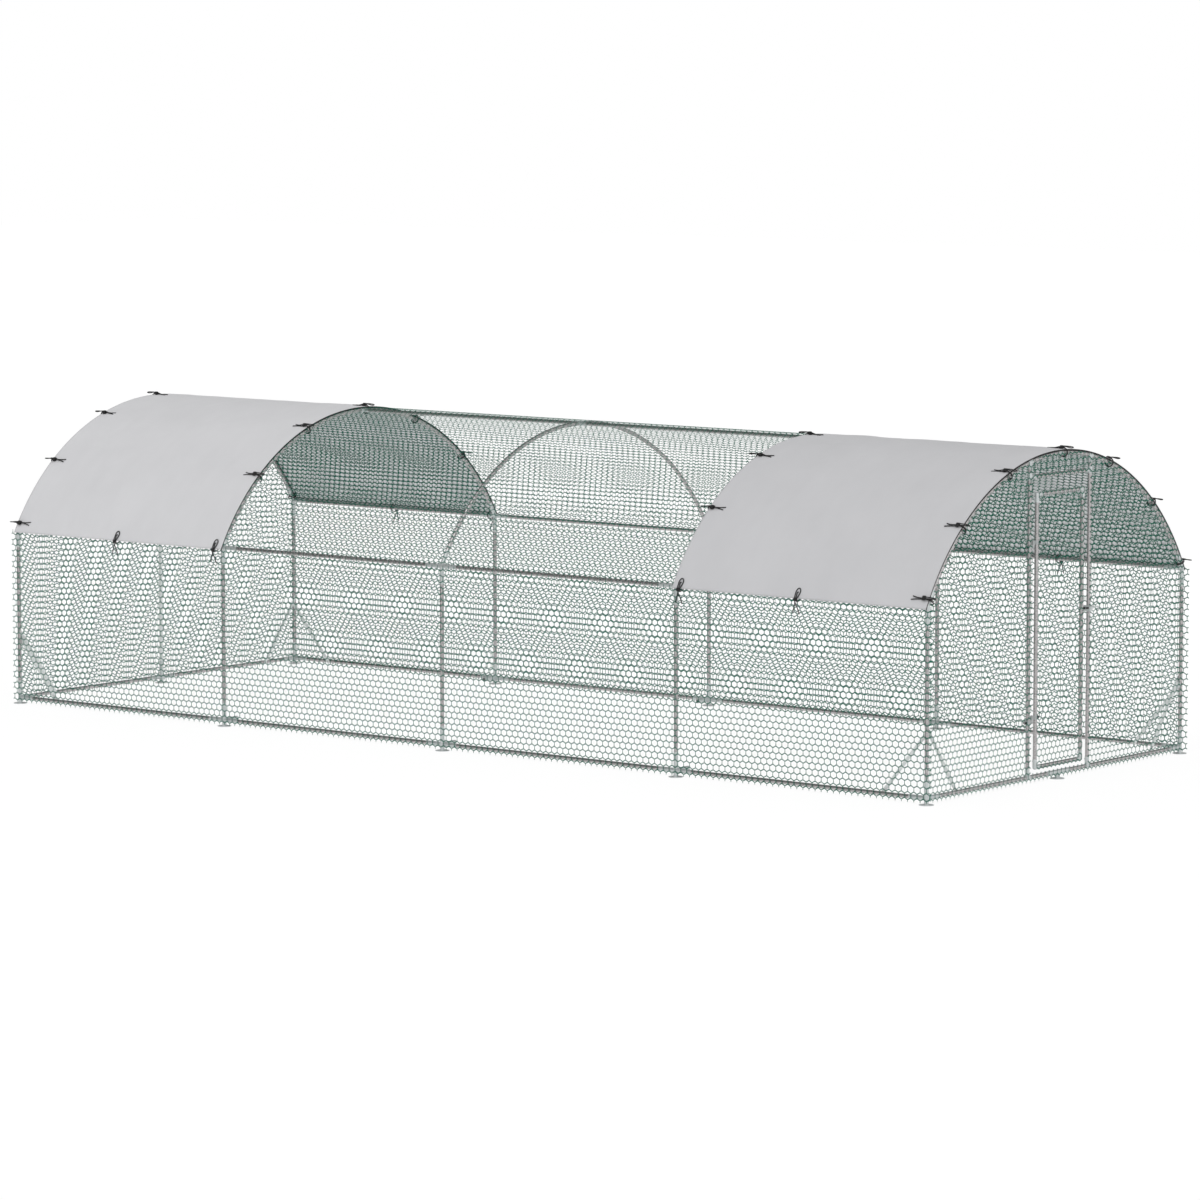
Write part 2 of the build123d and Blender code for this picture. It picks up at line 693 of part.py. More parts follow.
latch_at = Vector(front_x, half_doorway, latch_height)
barrel_at = latch_at + X_AXIS * latch_barrel_offset + Z_AXIS * latch_barrel_rise
half_band = latch_band_height / 2
half_barrel = Y_AXIS * (latch_barrel_length / 2)
body = band(latch_at, latch_band_height, -X_AXIS)
body = body + block(
    latch_at + Vector(0, -latch_plate_width / 2, -half_band),
    latch_at + Vector(latch_plate_reach, latch_plate_width / 2, half_band),
)
body = body + rod(barrel_at - half_barrel, barrel_at + half_barrel, latch_barrel_radius)
cuts = band_cuts(latch_at, latch_band_height, -X_AXIS)
barrel_bore = latch_bolt_radius + latch_running_clearance
cuts.append(rod(barrel_at - half_barrel * 1.1, barrel_at + half_barrel * 1.1, barrel_bore))
latch_barrel = (body - cuts).solid()
frame_clamp_bolts.append(clamp_bolt(latch_at, -X_AXIS))

bolt_line = Vector(barrel_at.X, 0, barrel_at.Z)
tip_y = half_leaf + tube_radius + latch_tip_gap
handle_y = barrel_at.Y + latch_barrel_length / 2 + latch_travel + latch_stop_gap + latch_bend_radius
rod_start = bolt_line + Y_AXIS * (tip_y + latch_tip_length / 2)
bend = bolt_line + Y_AXIS * handle_y
bend_centre = bend + Vector(0, -latch_bend_radius, -latch_bend_radius)
bend_plane = Plane(bend_centre, x_dir=Z_AXIS, z_dir=-X_AXIS)
latch_bolt = rod(rod_start, bend - Y_AXIS * latch_bend_radius, latch_bolt_radius)
latch_bolt = latch_bolt + Solid.make_torus(latch_bend_radius, latch_bolt_radius, bend_plane, major_angle=90)
handle_end = bend - Z_AXIS * latch_handle_drop
latch_bolt = (latch_bolt + rod(bend - Z_AXIS * latch_bend_radius, handle_end, latch_bolt_radius)).solid()
tip_end = bolt_line + Y_AXIS * (tip_y + latch_tip_length)
latch_tip = rod(bolt_line + Y_AXIS * tip_y, tip_end, latch_tip_radius)
tip_bore = rod(rod_start - Y_AXIS * end_gap, tip_end + Y_AXIS, barrel_bore)
latch_tip = (latch_tip - tip_bore).solid()

# The front netting is cut away round the latch plate.
plate_gap = 4.0
half_plate = latch_plate_width / 2
notch = block(
    latch_at + Vector(0, -half_doorway, -half_band - plate_gap),
    latch_at + Vector(net_inner + net_thickness + 1, half_plate + plate_gap, half_band + plate_gap),
)
nets["front_net_right"] = [(nets["front_net_right"][0] - notch).solid()]

# Door leaf: four tubes and four elbows.

door_elbows = []
door_screw_start = len(screws)
for side in sides.values():
    for z, up in ((leaf_bottom, Z_AXIS), (leaf_top, -Z_AXIS)):
        corner = Vector(front_x, side * half_leaf, z)
        across = Y_AXIS * -side
        pole = X_AXIS * 0.6 + up * 0.7 - across * 0.5
        door_elbows.append(fitting(corner, [(up, elbow_arm), (across, elbow_arm)], pole=pole))
        arm_screw(corner, up, elbow_arm, -X_AXIS)
        arm_screw(corner, across, elbow_arm, -X_AXIS)
door_stiles = []
for side in sides.values():
    y = side * half_leaf
    door_stiles.append(between(Vector(front_x, y, leaf_bottom), Vector(front_x, y, leaf_top)))
door_rails = []
for z in (leaf_bottom, leaf_top):
    door_rails.append(between(Vector(front_x, -half_leaf, z), Vector(front_x, half_leaf, z)))
door_screws = screws[door_screw_start:]
frame_screws = screws[:door_screw_start]

# Covers: cloth bent over the netting, with an eyelet for each tie.


def hoop_tie_angles(ridge_side, corners):
    """Where the ties stand along a hoop: beside the ridge, at thirds of each side, and maybe at the eaves."""
    step = eave_angle / ties_per_side
    angles = [ridge_side * ridge_tie_angle]
    for side in sides.values():
        angles += [side * step * k for k in range(1, ties_per_side)]
        if corners:
            angles.append(side * (eave_angle - corner_tie_offset))
    return angles


# A hoop tie, as (into the cover, along the hoop, out of the roof) from the hoop's axis. One end lies on the
# cover. The cord goes over the edge and round the tube, comes up through the eyelet and makes a bow that
# stands out past the edge. Its other end lies on the cover again.
hoop_tie_route = [
    (116, 24, tie_lift), (95, 19, tie_lift + 0.4), (74, 14, tie_lift), (54, 9.5, tie_lift + 0.8),
    (36, 6, tie_lift + 1.6), (14, 4, tie_lift + 3), (-9, 3, tie_lift + 3), (-24, 2, tie_lift - 12.5),
    (-24.5, 1, tie_lift - 31), (-12, 0, tie_lift - 46.5), (8, -1.5, tie_lift - 47),
    (23.5, -3.5, tie_lift - 36), (26, -5, tie_lift - 14), (25, -6, tie_lift + 8), (14, -8, tie_lift + 14),
    (-12, -12, tie_lift + 13), (-36, -14, tie_lift + 10), (-55, -10, tie_lift + 8.5), (-62, 0, tie_lift + 8),
    (-54, 9.5, tie_lift + 8.5), (-34, 12, tie_lift + 10.5), (-10, 9, tie_lift + 12.5),
    (12, 5.5, tie_lift + 12), (30, 3.2, tie_lift + 10.5), (48, -2, tie_lift + 7), (66, -9, tie_lift + 2),
    (87, -17, tie_lift + 0.4), (108, -25, tie_lift),
]
eyelet_place = (25.57, -5.43)  # into the cover and along the hoop, where the cord comes up
tie_slots = (
    (Vector(-29.5, -3, tie_lift - 20), Vector(-9.5, 7.5, tie_lift - 4.1)),
    (Vector(20.8, -10, tie_lift - 20), Vector(30.3, -0.4, tie_lift - 4.1)),
)
end_slot = (Vector(-18, -5, tie_lift - 49), Vector(-13, 6, tie_lift - 32.5))

# An eave tie, as (along the rail, outwards, upwards) from the eave rail's axis. One end hangs below the
# cover. The cord goes up to the eyelet, in and round the rail, out through the side netting and makes a bow
# that lies on the cover. Its other end hangs beside the first.
eave_tie_route = [
    (16, 38, -98), (13, 38.5, -74), (9.5, 39.5, -50), (5.5, 40, -28), (4, 35.9, -8.1), (2.8, 27, 6.4),
    (1, 25, 22), (0, 17, 29.5), (-1, -3, 19.8), (-1.5, -14.5, 14), (-2, -20.5, 0), (-2, -15, -14.5),
    (-0.5, -1, -21), (0, 13, -26.5), (-0.5, 26, -30), (-3.5, 37, -28), (-5, 41.5, -15), (-8, 31.8, -1.3),
    (-14, 22.9, 13.3), (-17, 12.8, 30.6), (-11, 4.2, 45.3), (0, 1.1, 50.5), (11, 4.2, 45.3), (17, 12.8, 30.6),
    (15, 23.3, 13.5), (11.5, 35.6, 0.8), (5.5, 48.5, -16), (-2, 48.5, -36), (-9, 44.5, -58), (-14, 41, -80),
    (-17, 39, -104),
]
eave_eyelet = (10.9, 26.5)  # outwards and upwards, from the eave rail's axis
eave_net_hole = 27.0  # below the eave rail's axis
eave_slot_margin = 1.5  # of the hole in the roof netting, over the eyelet's radius


def turn_radii(points):
    """The largest arc that each inner corner of a route has room for."""
    radii = []
    for before, here, after in zip(points, points[1:], points[2:]):
        first, second = here - before, after - here
        turn = math.radians(first.get_angle(second))
        radii.append(0.45 * min(first.length, second.length) / math.tan(turn / 2))
    return radii


def cord(name, route):
    """A length of cord along a route of straight runs and tangent arcs."""
    points = [Vector(*p) for p in route]
    radii = turn_radii(points)
    path = FilletPolyline(*points, radius=radii)
    plane = Plane(points[0], z_dir=points[1] - points[0])
    solid = sweep(plane * Circle(cord_radius), path=path).solid()
    section = math.pi * cord_radius**2
    print(name, "length", round(path.length, 1), "least radius", round(min(radii), 1))
    print(name, "volume over section times length", round(solid.volume / section / path.length, 4))
    return solid


hoop_tie = cord("hoop tie", hoop_tie_route)
eave_tie = cord("eave tie", eave_tie_route)
cover_spans = {"rear": (0, 1), "front": (bay_count - 1, bay_count)}
covers = {}
cover_ties = {}
cord_hole = cord_radius + cord_hole_clearance
roof_cord_holes = []
side_cord_holes = []
end_cord_holes = []
for name, (low, high) in cover_spans.items():
    cover_low, cover_high = hoop_places[low] - cover_lap, hoop_places[high] + cover_lap
    start = Plane(Vector(cover_low, 0, hoop_centre), x_dir=hoop_normal(cover_angle), z_dir=X_AXIS)
    length = cover_high - cover_low
    outer = Solid.make_cylinder(cover_outer, length, start, 2 * cover_angle)
    inner = Solid.make_cylinder(cover_inner, length, start, 2 * cover_angle)
    eyelets = []
    ties = []
    eave_places = [(hoop_places[low] + hoop_places[high]) / 2]
    for index, inside, ridge_side in ((low, 1, -1), (high, -1, 1)):
        x = hoop_places[index]
        at_end = index in (0, last_hoop)
        if not at_end:
            eave_places.append(x + inside * corner_tie_inset)
        for angle in hoop_tie_angles(ridge_side, at_end):
            out = hoop_normal(angle)
            place = Plane(hoop_point(x, angle), x_dir=X_AXIS * inside, z_dir=out)
            ties.append(place * hoop_tie)
            eyelet = place.from_local_coords(Vector(*eyelet_place, 0))
            eyelets.append(rod(eyelet, eyelet + out * (tie_lift + 5), eyelet_radius))
            roof_cord_holes += [place * block(*slot) for slot in tie_slots]
            end_cord_holes.append(place * block(*end_slot))
    for x in eave_places:
        for side in sides.values():
            rail = Vector(x, side * half_width, eave_height)
            # The local axes are along the rail, outwards and upwards.
            local = Plane(rail, x_dir=X_AXIS * -side, z_dir=Z_AXIS)
            ties.append(local * (Rot(0, 0, 180) * eave_tie))
            at = rail + Vector(0, side * eave_eyelet[0], eave_eyelet[1])
            out = hoop_normal(side * eave_angle)
            eyelets.append(rod(at - out * 20, at + out * 20, eyelet_radius))
            roof_cord_holes.append(rod(at - out * 30, at + out * 10, eyelet_radius + eave_slot_margin))
            below = rail - Z_AXIS * eave_net_hole
            side_cord_holes.append(rod(below, below + Y_AXIS * (side * 40), cord_hole))
    shell = (outer - inner).solid()
    covers[name + "_cover"] = (shell - eyelets).solid()
    cover_ties[name + "_cover_ties"] = ties

for name in nets:
    if name.startswith("roof"):
        nets[name] = [drilled(strip, roof_cord_holes) for strip in nets[name]]
    elif name.startswith(("left", "right")):
        nets[name] = [drilled(net, side_cord_holes) for net in nets[name]]
    else:
        nets[name] = [drilled(net, end_cord_holes) for net in nets[name]]

# Every node, with its solids. Tubes and sleeves get the holes of the screws that go through them.

pieces = {}
for name, tubes in side_tubes.items():
    pieces[name] = tubes
for i, halves in enumerate(hoops):
    pieces[f"hoop_{i + 1}"] = halves
pieces["ridge_rails"] = ridge_rails
pieces["end_base_rails"] = end_base_rails
pieces["rear_centre_post"] = [rear_centre_post]
pieces["door_jambs"] = door_jambs
pieces["door_lintel"] = [door_lintel]
pieces["base_corner_joints"] = base_corner_joints
pieces["base_tee_joints"] = base_tee_joints
pieces["base_centre_tees"] = base_centre_tees
pieces["eave_corner_joints"] = eave_corner_joints
pieces["eave_cross_joints"] = eave_cross_joints
pieces["ridge_clamps"] = ridge_clamps
pieces["jamb_base_tees"] = jamb_base_tees
pieces["jamb_head_clamps"] = jamb_head_clamps
pieces["lintel_tees"] = lintel_tees
pieces["door_elbows"] = door_elbows
pieces["door_stiles"] = door_stiles
pieces["door_rails"] = door_rails
pieces = {name: [drilled(solid, screw_holes) for solid in solids] for name, solids in pieces.items()}
pieces["foot_plates"] = foot_plates
pieces["corner_braces"] = corner_braces
pieces["frame_screws"] = frame_screws
pieces["door_screws"] = door_screws
pieces["hinge_brackets"] = hinge_brackets
pieces["hinge_eyes"] = hinge_eyes
pieces["frame_clamp_bolts"] = frame_clamp_bolts
pieces["door_clamp_bolts"] = door_clamp_bolts
pieces["latch_barrel"] = [latch_barrel]
pieces["latch_bolt"] = [latch_bolt]
pieces["latch_tip"] = [latch_tip]
pieces["door_net"] = [door_net]
pieces.update(nets)
for name, cover in covers.items():
    pieces[name] = [cover]
pieces.update(cover_ties)

os.makedirs("parts", exist_ok=True)
for name, solids in pieces.items():
    export_step(Compound(solids), f"parts/{name}.step")
print(len(pieces), "nodes,", sum(len(solids) for solids in pieces.values()), "solids")
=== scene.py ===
import math

import bpy
import numpy as np
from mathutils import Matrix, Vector


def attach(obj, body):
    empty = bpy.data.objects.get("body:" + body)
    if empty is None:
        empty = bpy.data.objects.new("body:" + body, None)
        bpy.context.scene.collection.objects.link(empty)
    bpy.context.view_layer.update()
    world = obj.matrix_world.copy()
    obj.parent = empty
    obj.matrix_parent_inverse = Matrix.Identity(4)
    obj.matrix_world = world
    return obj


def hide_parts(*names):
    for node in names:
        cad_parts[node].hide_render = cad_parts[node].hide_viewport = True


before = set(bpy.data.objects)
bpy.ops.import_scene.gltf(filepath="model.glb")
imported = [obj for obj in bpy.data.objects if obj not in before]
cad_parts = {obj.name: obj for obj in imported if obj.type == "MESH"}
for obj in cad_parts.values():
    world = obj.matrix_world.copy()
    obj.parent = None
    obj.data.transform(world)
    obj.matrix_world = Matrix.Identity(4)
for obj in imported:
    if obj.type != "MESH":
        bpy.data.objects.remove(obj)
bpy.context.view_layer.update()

# Camera: where the photograph was taken from, a long way off through a long lens,
# a little above the eaves and off the door corner.
aim = Vector((0.1697, 0.0, 0.8527))
azimuth, elevation, distance = math.radians(38.340), math.radians(6.375), 34.642
back = Vector((
    math.sin(azimuth) * math.cos(elevation),
    -math.cos(azimuth) * math.cos(elevation),
    math.sin(elevation),
))
camera = bpy.data.objects.new("camera", bpy.data.cameras.new("camera"))
camera.data.lens = 159.34
camera.data.sensor_width = 36.0
camera.data.clip_end = 200.0
camera.location = aim + back * distance
camera.rotation_euler = (-back).to_track_quat("-Z", "Y").to_euler()
bpy.context.collection.objects.link(camera)
bpy.context.scene.camera = camera


# Tubes: thin steel tube, galvanised before it was drawn, so the zinc is dull and a little
# streaked along the tube. Posts, rails and hoops slide into the sleeves of the fittings.
class Shade:
    """A socket in a shader's expression: arithmetic on it adds Math nodes to the same tree."""

    def __init__(self, tree, socket=None):
        self.tree = tree
        self.socket = socket

    def node(self, kind, settings=None, inputs=None, out=0):
        """Adds a node, sets it up, then gives its sockets values or links. Returns one output."""
        made = self.tree.nodes.new(kind)
        for name, value in (settings or {}).items():
            if name == "stops":
                ramp = made.color_ramp.elements
                while len(ramp) < len(value):
                    ramp.new(0.5)
                for stop, (place, grey) in zip(ramp, value):
                    stop.position = place
                    stop.color = (grey, grey, grey, 1.0)
            else:
                setattr(made, name, value)
        for name, value in (inputs or {}).items():
            if isinstance(value, Shade):
                self.tree.links.new(value.socket, made.inputs[name])
            else:
                made.inputs[name].default_value = value
        return Shade(self.tree, made.outputs[out])

    def maths(self, operation, first, second):
        """A Math node on two values."""
        return self.node("ShaderNodeMath", {"operation": operation}, {0: first, 1: second})

    def __add__(self, other):
        return self.maths("ADD", self, other)

    __radd__ = __add__

    def __sub__(self, other):
        return self.maths("SUBTRACT", self, other)

    def __rsub__(self, other):
        return self.maths("SUBTRACT", other, self)

    def __mul__(self, other):
        return self.maths("MULTIPLY", self, other)

    __rmul__ = __mul__

    def place(self, scale=(1, 1, 1)):
        """Where a point is on the object, stretched by a scale."""
        spot = self.node("ShaderNodeTexCoord", out="Object")
        return self.node("ShaderNodeMapping", {"vector_type": "POINT"}, {"Vector": spot, "Scale": scale})

    def noise(self, scale, detail, stretch=(1, 1, 1)):
        """Clouds over the object, from 0 to 1."""
        inputs = {"Vector": self.place(stretch), "Scale": scale, "Detail": detail, "Roughness": 0.55}
        return self.node("ShaderNodeTexNoise", None, inputs)

    def tone(self, factor, low, high):
        """A colour between two, by a factor. The first may be a colour that varies."""
        first = low if isinstance(low, Shade) else (*low, 1.0)
        colours = {"Factor": factor, "A": first, "B": (*high, 1.0)}
        return self.node("ShaderNodeMix", {"data_type": "RGBA"}, colours, out=2)

    def ramp(self, factor, *stops):
        """A grey by a factor, between stops (place, grey)."""
        return self.node("ShaderNodeValToRGB", {"stops": stops}, {"Fac": factor})


def finish(name, **constants):
    """A material with a Principled surface whose even values are set on its own sockets."""
    material = bpy.data.materials.new(name)
    material.use_nodes = True
    surface = material.node_tree.nodes["Principled BSDF"]
    for socket, value in constants.items():
        surface.inputs[socket.replace("_", " ")].default_value = value
    return material, Shade(material.node_tree), surface


def feed(shade, surface, height=None, depth=0.0, **links):
    """Links varying values to a surface, and a height to its normal."""
    for socket, value in links.items():
        shade.tree.links.new(value.socket, surface.inputs[socket.replace("_", " ")])
    if height is not None:
        bump = shade.node("ShaderNodeBump", None, {"Height": height, "Distance": depth, "Strength": 1.0})
        shade.tree.links.new(bump.socket, surface.inputs["Normal"])


def wear(material, *nodes):
    """Puts a finish on CAD pieces that keep their shape."""
    for name in nodes:
        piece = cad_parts[name]
        piece.data.materials.clear()
        piece.data.materials.append(material)


tube_zinc, shade, surface = finish("galvanised_tube", Metallic=0.85)
streak = shade.noise(26.0, 4.0)
cells = {"Vector": shade.place(), "Scale": 130.0}
spangle = shade.node("ShaderNodeTexVoronoi", {"feature": "F1"}, cells, "Color")
spangle = shade.node("ShaderNodeSeparateColor", None, {"Color": spangle})
mottle = streak * 0.75 + spangle * 0.25
colour = shade.tone(mottle, (0.365, 0.353, 0.353), (0.535, 0.520, 0.520))
feed(shade, surface, shade.noise(420.0, 2.0), 0.0002, Base_Color=colour, Roughness=0.18 + mottle * 0.18)
wear(
    tube_zinc, "left_posts", "right_posts", "base_rails", "eave_rails", "ridge_rails", "end_base_rails",
    "door_jambs", "door_lintel", "door_stiles", "door_rails",
    "hoop_1", "hoop_2", "hoop_3", "hoop_4", "hoop_5",
)

# Fittings: pressed and welded sleeve joints, electroplated after welding, so brighter and
# bluer than the tubes. They join the tubes at the feet, eaves, ridge and doorway.
bright_zinc, shade, surface = finish("bright_zinc", Metallic=0.7)
cloud = shade.noise(34.0, 4.0)
grain = shade.noise(300.0, 2.0)
colour = shade.tone(cloud, (0.50, 0.535, 0.535), (0.66, 0.69, 0.69))
feed(shade, surface, grain, 0.00025, Base_Color=colour, Roughness=0.32 + cloud * 0.25)
wear(
    bright_zinc, "base_corner_joints", "base_tee_joints", "base_centre_tees", "eave_corner_joints",
    "eave_cross_joints", "ridge_clamps", "jamb_base_tees", "jamb_head_clamps", "lintel_tees", "door_elbows",
)

# Feet, braces and rear post: round plates welded under the base joints, short tubes with
# flattened ends that stiffen each corner, and the post in the middle of the rear end. All
# are zinc plated, and the plates are scuffed.
scuffed_zinc, shade, surface = finish("scuffed_zinc", Metallic=0.35)
cloud = shade.noise(18.0, 5.0)
scuff = shade.ramp(shade.noise(55.0, 6.0), (0.52, 0.0), (0.66, 1.0))
clean = shade.tone(cloud, (0.58, 0.605, 0.605), (0.72, 0.745, 0.745))
colour = shade.tone(scuff * 0.35, clean, (0.36, 0.36, 0.35))
feed(shade, surface, shade.noise(260.0, 3.0), 0.0003, Base_Color=colour, Roughness=0.38 + scuff * 0.25)
wear(scuffed_zinc, "foot_plates")
pale_zinc, shade, surface = finish("pale_zinc", Metallic=0.1)
cloud = shade.noise(30.0, 4.0)
colour = shade.tone(cloud, (0.74, 0.76, 0.76), (0.84, 0.86, 0.86))
feed(shade, surface, shade.noise(280.0, 3.0), 0.0003, Base_Color=colour, Roughness=0.42 + cloud * 0.2)
wear(pale_zinc, "corner_braces", "rear_centre_post")

# Screws: self-drilling screws with pan heads, one through each sleeve arm and brace tab.
# They are plated, with the dark rub of the driver on the head.
screw_steel, shade, surface = finish("screw_steel", Metallic=0.85)
rub = shade.noise(240.0, 3.0)
colour = shade.tone(rub, (0.22, 0.22, 0.22), (0.55, 0.55, 0.54))
feed(shade, surface, Base_Color=colour, Roughness=0.3 + rub * 0.25)
wear(screw_steel, "frame_screws", "door_screws")

# Netting: steel wire coated in dark green plastic, woven into hexagons on a machine that
# twists two wires together along each upright side. It is stretched over the tubes.
cell_width, cell_rise, twist_length = 0.0452, 0.0375, 0.0250
single_wire = (0.00295, 0.00060, 1, 0)  # half width and half depth, steps along it, turns
twisted_pair = (0.00310, 0.00175, 5, 1.5)
end_wire = (0.00300, 0.00060, 1, 0)
end_pair = (0.00260, 0.00150, 5, 1.5)
roof_wire = (0.00290, 0.00035, 1, 0)
roof_pair = (0.00220, 0.00140, 5, 1.5)  # pulled tight over the hoops
covered_wire = (0.00360, 0.00080, 1, 0)  # under the covers, drawn wider as painted shadow of the wires on the cloth behind
covered_pair = (0.00340, 0.00200, 5, 1.5)
wire_flat = 0.40  # the rollers of the weaving machine press the pair flatter than it is wide
wire_lap, shortest_wire = 0.0004, 0.002  # how far each end runs on, and the least length that is kept
net_lift = 0.0166  # of the wires' middle, from the axis of the tubes that they lie on
half_width, half_length, bay = 1.400, 3.740, 1.870
eave_height, hoop_centre, hoop_radius = 1.180, 0.39488, 1.60512
eave_angle = math.asin(half_width / hoop_radius)

green_coat, shade, surface = finish("green_coat", Specular_IOR_Level=0.15)
patch = shade.noise(3.0, 3.0)
fleck = shade.noise(190.0, 2.0)
colour = shade.tone(patch * 0.6 + fleck * 0.4, (0.004, 0.105, 0.066), (0.012, 0.178, 0.117))
feed(shade, surface, fleck, 0.0002, Base_Color=colour, Roughness=0.50 + fleck * 0.2)


def wires_in(low, high, walls=(), tip=0.012, rise=cell_rise):
    """Middle lines of the wires over a rectangle, cut by its edges and by half planes (a, b, c).

    The lowest row is cut under its forks, so that a tip of each pair is left along the lower edge.
    """
    rows = math.ceil((high[1] - low[1]) / rise) + 2
    first, last = math.floor(low[0] / cell_width) - 1, math.ceil(high[0] / cell_width) + 1
    row, column = np.meshgrid(np.arange(rows), np.arange(first, last), indexing="ij")
    across = ((column + 0.5 * (row % 2)) * cell_width).ravel()
    top = (low[1] + tip + row * rise).ravel()
    foot = top - twist_length
    twists = np.stack([across, foot, across, top], 1)
    slants = [np.stack([across, top, across + side * cell_width / 2, foot + rise], 1) for side in (-1, 1)]
    edges = [(-1, 0, -low[0]), (1, 0, high[0]), (0, -1, -low[1]), (0, 1, high[1]), *walls]
    return [cut(lines, edges) for lines in (np.concatenate(slants), twists)]


def cut(lines, walls):
    """The part of each line that every half plane keeps."""
    for a, b, c in walls:
        start = a * lines[:, 0] + b * lines[:, 1] - c
        end = a * lines[:, 2] + b * lines[:, 3] - c
        keep = (start < 0) | (end < 0)
        lines, start, end = lines[keep], start[keep], end[keep]
        share = start / np.where(start == end, 1.0, start - end)
        meet = lines[:, :2] + share[:, None] * (lines[:, 2:] - lines[:, :2])
        lines = np.concatenate([
            np.where((start > 0)[:, None], meet, lines[:, :2]),
            np.where((end > 0)[:, None], meet, lines[:, 2:]),
        ], 1)
    return lines[np.hypot(lines[:, 2] - lines[:, 0], lines[:, 3] - lines[:, 1]) > shortest_wire]


def tubes(lines, wide, narrow, steps, turns):
    """Four-sided tubes along lines, as (count, rings, 4, 3) points and one tube's faces."""
    start, end = lines[:, None, None, :2], lines[:, None, None, 2:]
    along = (end - start) / np.linalg.norm(end - start, axis=-1, keepdims=True)
    sideways = np.concatenate([-along[..., 1:], along[..., :1]], -1)
    share = np.linspace(0, 1, steps + 1)[None, :, None, None]
    angle = turns * 2 * math.pi * share[..., 0] + math.pi / 2 * np.arange(4)[None, None, :]
    reach = np.where(np.arange(4) % 2 == 0, wide, narrow)[None, None, :]
    flat = (reach * np.cos(angle))[..., None] * sideways
    depth = (reach * np.sin(angle))[..., None] * (wire_flat if turns else 1.0)
    middle = start + share * (end - start) + np.where(share < 0.5, -1, 1) * along * wire_lap
    rings = np.concatenate([middle + flat, np.broadcast_to(depth, flat[..., :1].shape)], -1)
    faces = []
    for ring in range(steps):
        near, far = 4 * ring, 4 * ring + 4
        for corner in range(4):
            beside = (corner + 1) % 4
            faces.append((near + corner, near + beside, far + beside, far + corner))
    last = 4 * steps
    faces += [(3, 2, 1, 0), (last, last + 1, last + 2, last + 3)]
    return rings, np.array(faces)


def woven(name, lines, lay, wires=(single_wire, twisted_pair)):
    """A net: one mesh of twisted and single wires, laid in place by a function of its flat points."""
    spots, corners, count = [], [], 0
    for group, shape in zip(lines, wires):
        rings, faces = tubes(group, *shape)
        size = rings.shape[1] * 4
        spots.append(rings.reshape(-1, 3))
        corners.append((faces[None] + (count + size * np.arange(len(group)))[:, None, None]).reshape(-1, 4))
        count += size * len(group)
    flat, quads = np.concatenate(spots), np.concatenate(corners)
    mesh = bpy.data.meshes.new(name)
    mesh.vertices.add(len(flat))
    mesh.vertices.foreach_set("co", lay(flat).astype(np.float32).ravel())
    mesh.loops.add(quads.size)
    mesh.loops.foreach_set("vertex_index", quads.astype(np.int32).ravel())
    mesh.polygons.add(len(quads))
    mesh.polygons.foreach_set("loop_start", np.arange(0, quads.size, 4, dtype=np.int32))
    mesh.polygons.foreach_set("use_smooth", np.ones(len(quads), bool))
    spread = (flat[:, :2] - flat[:, :2].min(0)) / np.ptp(flat[:, :2], axis=0)
    sheet_map = mesh.uv_layers.new(name="OFBake")
    sheet_map.uv.foreach_set("vector", spread[quads.ravel()].astype(np.float32).ravel())
    mesh.update(calc_edges=True)
    mesh.validate()
    net = bpy.data.objects.new(name, mesh)
    bpy.context.collection.objects.link(net)
    mesh.materials.append(green_coat)
    return net


def flat_on(origin, across, out):
    """Lays flat points on an upright plane."""
    origin, across, out = np.array(origin), np.array(across), np.array(out)
    return lambda p: origin + p[:, :1] * across + p[:, 1:2] * np.array((0, 0, 1.0)) + p[:, 2:] * out


net_foot, side_top, overhang = 0.012, 1.184, 0.045
right_rise = 0.985 * cell_rise  # the right side's roll is stretched a little less, so its cells are lower
for side, label, rise in ((-1, "left", cell_rise), (1, "right", right_rise)):
    lay = flat_on((0, side * (half_width + net_lift), 0), (1, 0, 0), (0, side, 0))
    for number in range(4):
        start = -half_length + number * bay - (overhang if number == 0 else 0)
        end = -half_length + (number + 1) * bay + (overhang if number == 3 else 0)
        name = f"{label}_netting_{number + 1}"
        net = woven(name, wires_in((start, net_foot), (end, side_top), rise=rise), lay)
        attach(net, "frame")
        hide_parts(f"{label}_net_{number + 1}")


# Roof netting: the same woven wire, bent over the hoops in one sweep from eave to eave and
# drawn tight. The covers lie on it over the first and last bays.
def over_hoops(p):
    """Lays flat points on the roof, where the second value runs round the arc from the ridge."""
    angle = p[:, 1] / (hoop_radius + net_lift)
    reach = hoop_radius + net_lift + p[:, 2]
    return np.stack([p[:, 0], reach * np.sin(angle), hoop_centre + reach * np.cos(angle)], 1)


half_arc = eave_angle * (hoop_radius + net_lift)
for number in range(4):
    start = -half_length + number * bay
    for label, low, high in (("left", -half_arc, 0.0), ("right", 0.0, half_arc)):
        lines = wires_in((start, low), (start + bay, high))
        # Under the covers the wires are drawn wider, as painted shadow that the net casts on the cloth.
        wires = (covered_wire, covered_pair) if number in (0, 3) else (roof_wire, roof_pair)
        net = woven(f"roof_netting_{number + 1}_{label}", lines, over_hoops, wires)
        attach(net, "frame")
        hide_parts(f"roof_net_{number + 1}")

